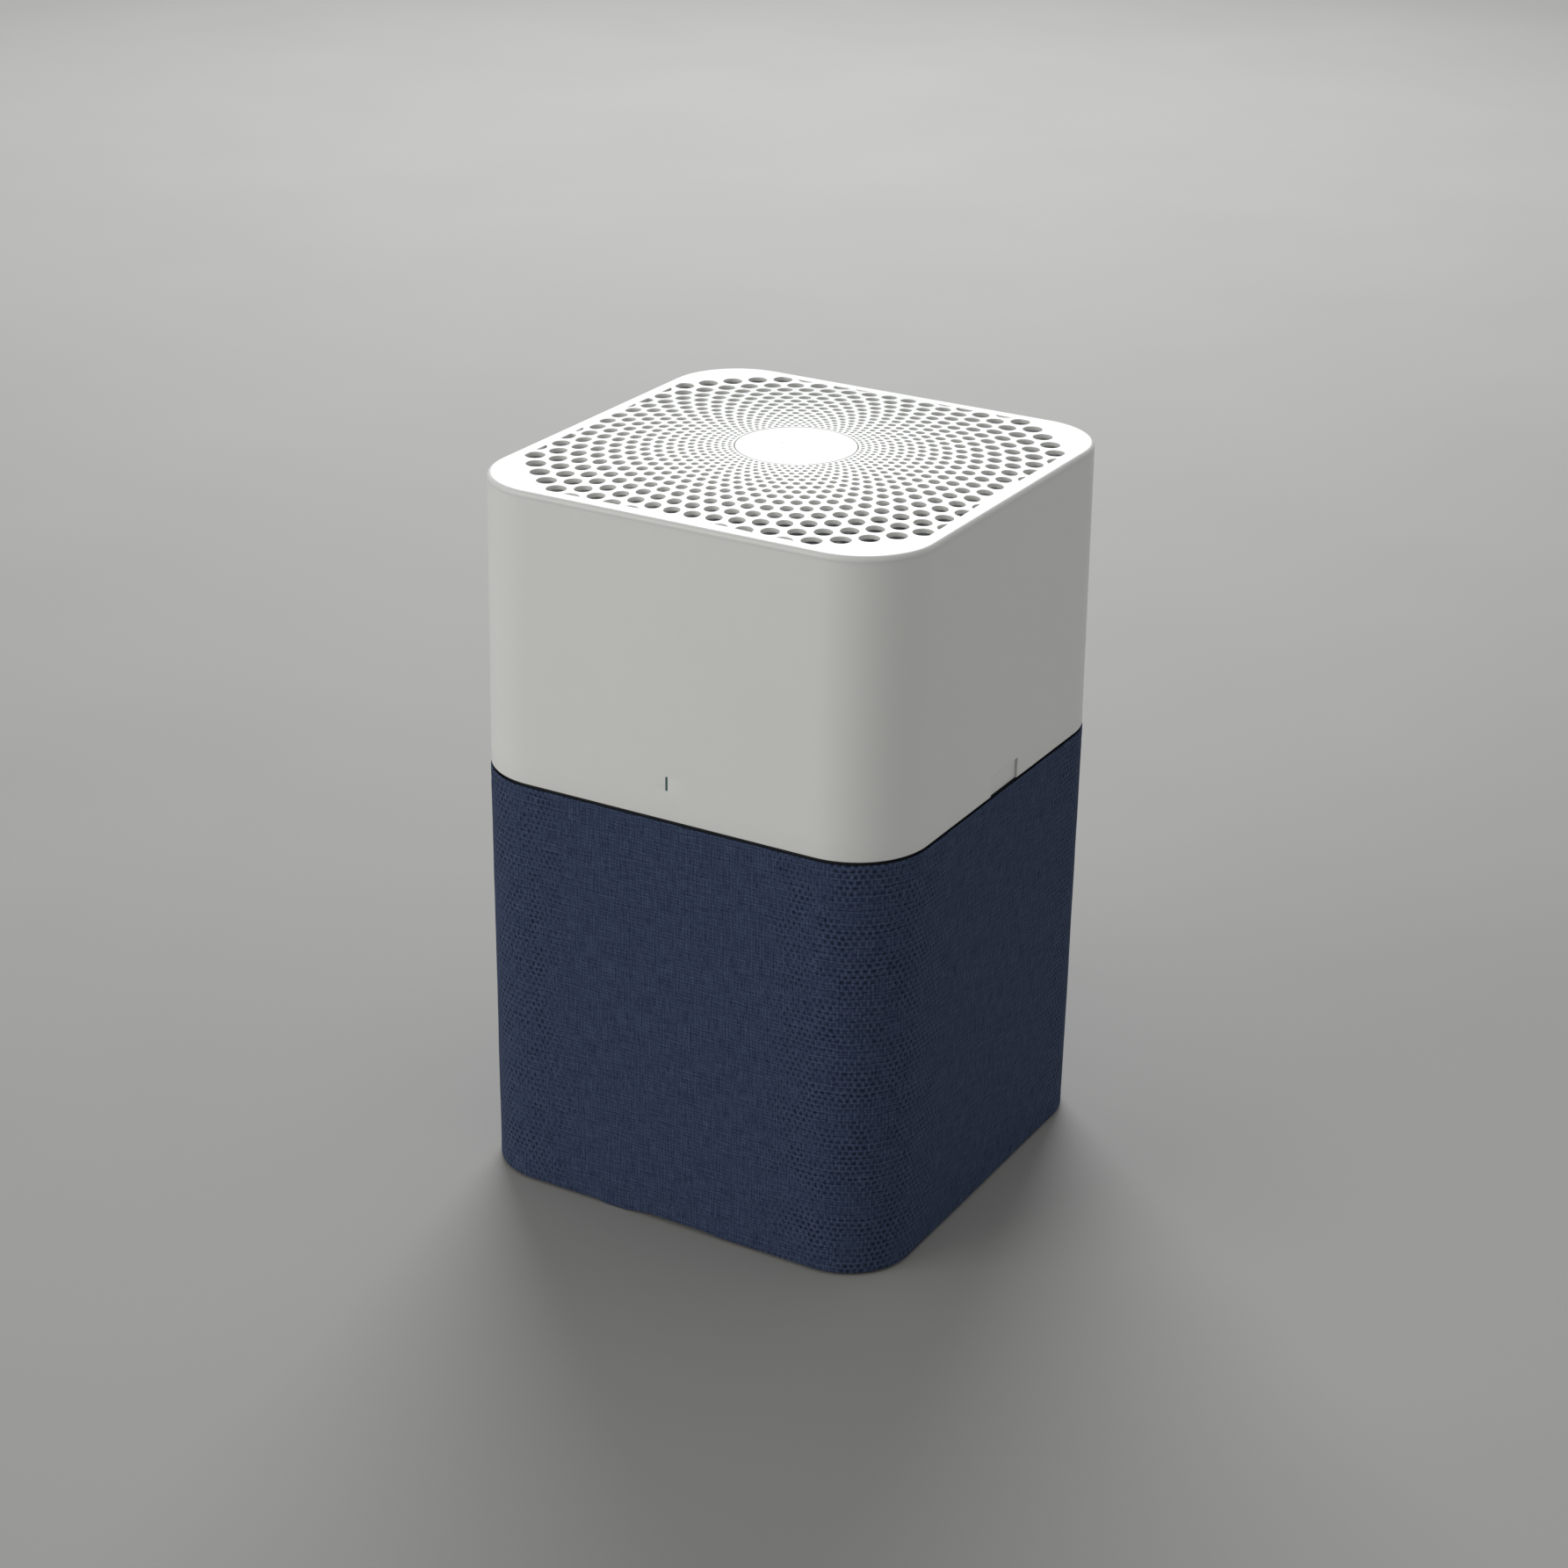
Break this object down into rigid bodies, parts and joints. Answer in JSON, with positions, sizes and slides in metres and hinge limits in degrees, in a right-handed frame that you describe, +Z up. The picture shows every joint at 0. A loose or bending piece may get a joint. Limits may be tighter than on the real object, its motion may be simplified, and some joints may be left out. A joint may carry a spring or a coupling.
{
  "type": "air purifier",
  "caption": "Square room air purifier: white fan unit with a domed perforated top and round press button, lifting off a filter wrapped in a navy fabric sleeve.",
  "frame": {"origin": "middle of the footprint on the floor", "axes": "+Z up; -Y is the front with the indicator window; +Y is the rear with the mains inlet"},
  "size_m": [0.332, 0.332, 0.5235],
  "materials": {
    "white_plastic": "satin moulded ABS with a very fine grain",
    "navy_fabric": "heathered navy plain weave, 2 mm pitch",
    "dark_plastic": "fine matte texture",
    "light_grey_plastic": "plain moulded finish",
    "fan_plastic": "semi-gloss moulded finish",
    "indicator_lens": "smoked, unlit",
    "filter_paper": "non-woven fibre",
    "carbon_felt": "felted",
    "elastic": "knitted band",
    "foam_rubber": "closed-cell foam",
    "rubber": "matte",
    "steel": "plated",
    "lamination_steel": "stacked laminations",
    "cast_aluminium": "die cast",
    "copper_wire": "enamelled wire",
    "brass": "plated contact",
    "circuit_board": "solder mask",
    "black_sheath": "smooth sheath",
    "grey_sheath": "smooth sheath"
  },
  "bodies": {
    "filter_unit": {"prefilter_sleeve": "navy_fabric", "sleeve_hem_bands": "elastic", "filter_top_frame": "dark_plastic", "filter_media": "filter_paper", "carbon_sheet": "carbon_felt", "filter_core": "light_grey_plastic", "filter_base": "dark_plastic", "filter_gasket": "foam_rubber", "foot_front_left": "rubber", "foot_front_right": "rubber", "foot_rear_left": "rubber", "foot_rear_right": "rubber"},
    "fan_unit": {"upper_casing": "white_plastic", "top_grille": "white_plastic", "deck_plate": "light_grey_plastic", "casing_screws": "steel", "inlet_guard": "dark_plastic", "fan_duct": "light_grey_plastic", "guide_vane_frame": "light_grey_plastic", "motor_housing": "cast_aluminium", "motor_stator": "lamination_steel", "motor_windings": "copper_wire", "motor_screws": "steel", "motor_grommets": "rubber", "bearing_outer_races": "steel", "button_cup": "light_grey_plastic", "control_board": "circuit_board", "button_switch": "dark_plastic", "power_board": "circuit_board", "mains_inlet": "dark_plastic", "inlet_pins": "brass", "mains_lead": "black_sheath", "motor_lead": "grey_sheath", "control_lead": "grey_sheath", "indicator_lens": "indicator_lens", "indicator_board": "circuit_board", "sensor_module": "dark_plastic"},
    "fan_rotor": {"impeller": "fan_plastic", "motor_shaft": "steel", "rotor_can": "steel", "impeller_nut": "steel", "bearing_inner_races": "steel", "bearing_balls": "steel"},
    "control_button": {"control_disc": "white_plastic", "indicator_dots": "indicator_lens", "button_stem": "light_grey_plastic", "button_spring": "steel"},
    "latch_left": {"latch_left": "white_plastic", "latch_spring_left": "steel"},
    "latch_right": {"latch_right": "white_plastic", "latch_spring_right": "steel"}
  },
  "joints": [
    {"name": "fan_unit_lift", "type": "slide", "parent": "filter_unit", "child": "fan_unit", "axis": [0, 0, 1], "range_m": [0, 0.06]},
    {"name": "fan_spin", "type": "hinge", "parent": "fan_unit", "child": "fan_rotor", "pos_m": [0, 0, 0.357], "axis": [0, 0, 1], "continuous": true},
    {"name": "control_button_press", "type": "slide", "parent": "fan_unit", "child": "control_button", "axis": [0, 0, -1], "range_m": [0, 0.0015], "stiffness_N_per_m": 1500, "springref_m": -0.0012, "deforming": ["button_spring"]},
    {"name": "latch_left_press", "type": "slide", "parent": "fan_unit", "child": "latch_left", "axis": [1, 0, 0], "range_m": [0, 0.003], "stiffness_N_per_m": 900, "springref_m": -0.002, "deforming": ["latch_spring_left"]},
    {"name": "latch_right_press", "type": "slide", "parent": "fan_unit", "child": "latch_right", "axis": [-1, 0, 0], "range_m": [0, 0.003], "stiffness_N_per_m": 900, "springref_m": -0.002, "deforming": ["latch_spring_right"]}
  ]
}
